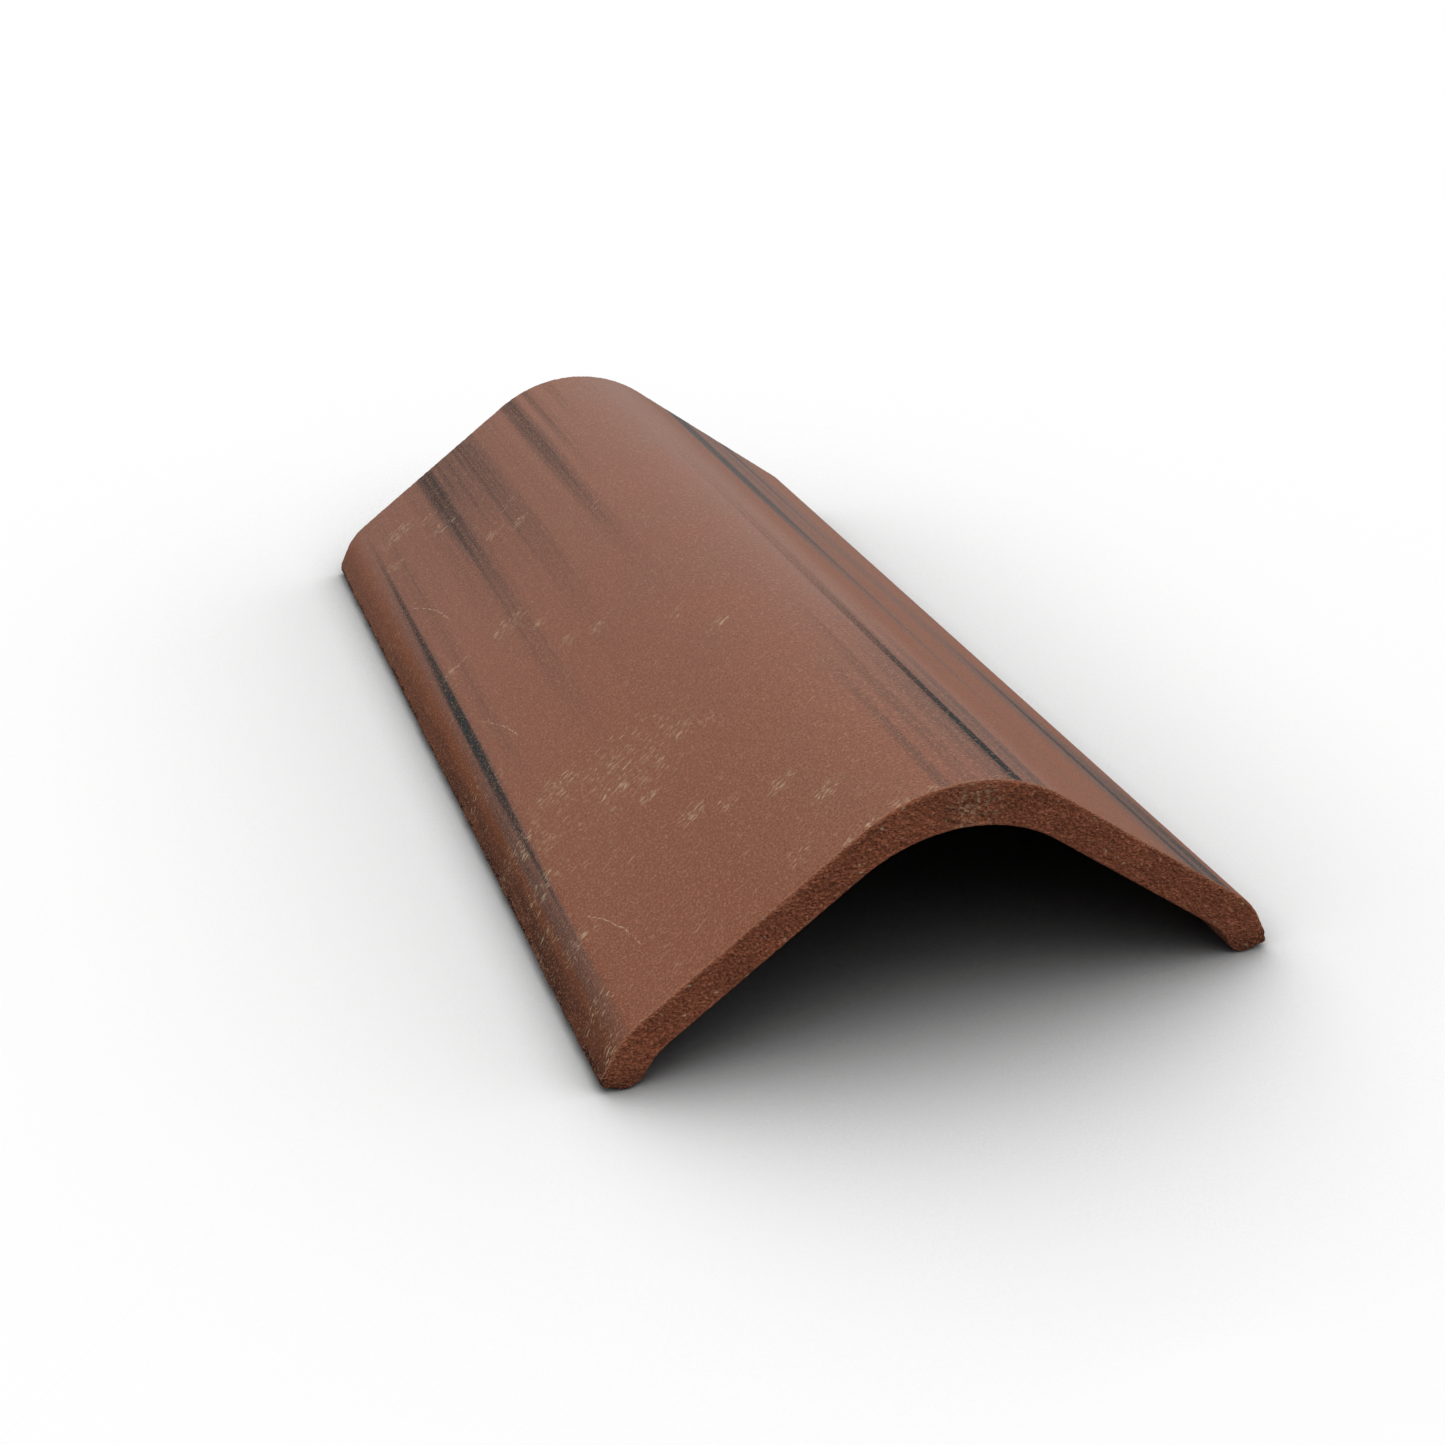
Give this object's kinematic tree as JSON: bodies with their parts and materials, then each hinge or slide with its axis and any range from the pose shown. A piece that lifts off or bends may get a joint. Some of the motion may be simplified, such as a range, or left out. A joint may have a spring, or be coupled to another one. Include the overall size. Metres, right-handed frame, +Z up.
{
  "type": "ridge tile",
  "caption": "Angular roof ridge tile with sloping wings, a rounded crown and short splayed flanges, extruded to cap the ridge of a pitched roof.",
  "frame": {"origin": "bottom centre of the tile, on the floor that its heels stand on", "axes": "+Y along the ridge, +X across the tile, +Z up through the crown"},
  "size_m": [0.2508, 0.457, 0.091],
  "materials": {
    "tile_body": "matt, through-coloured red-brown concrete with a smooth upper face"
  },
  "bodies": {
    "root": {"ridge_tile": "tile_body"}
  },
  "joints": []
}
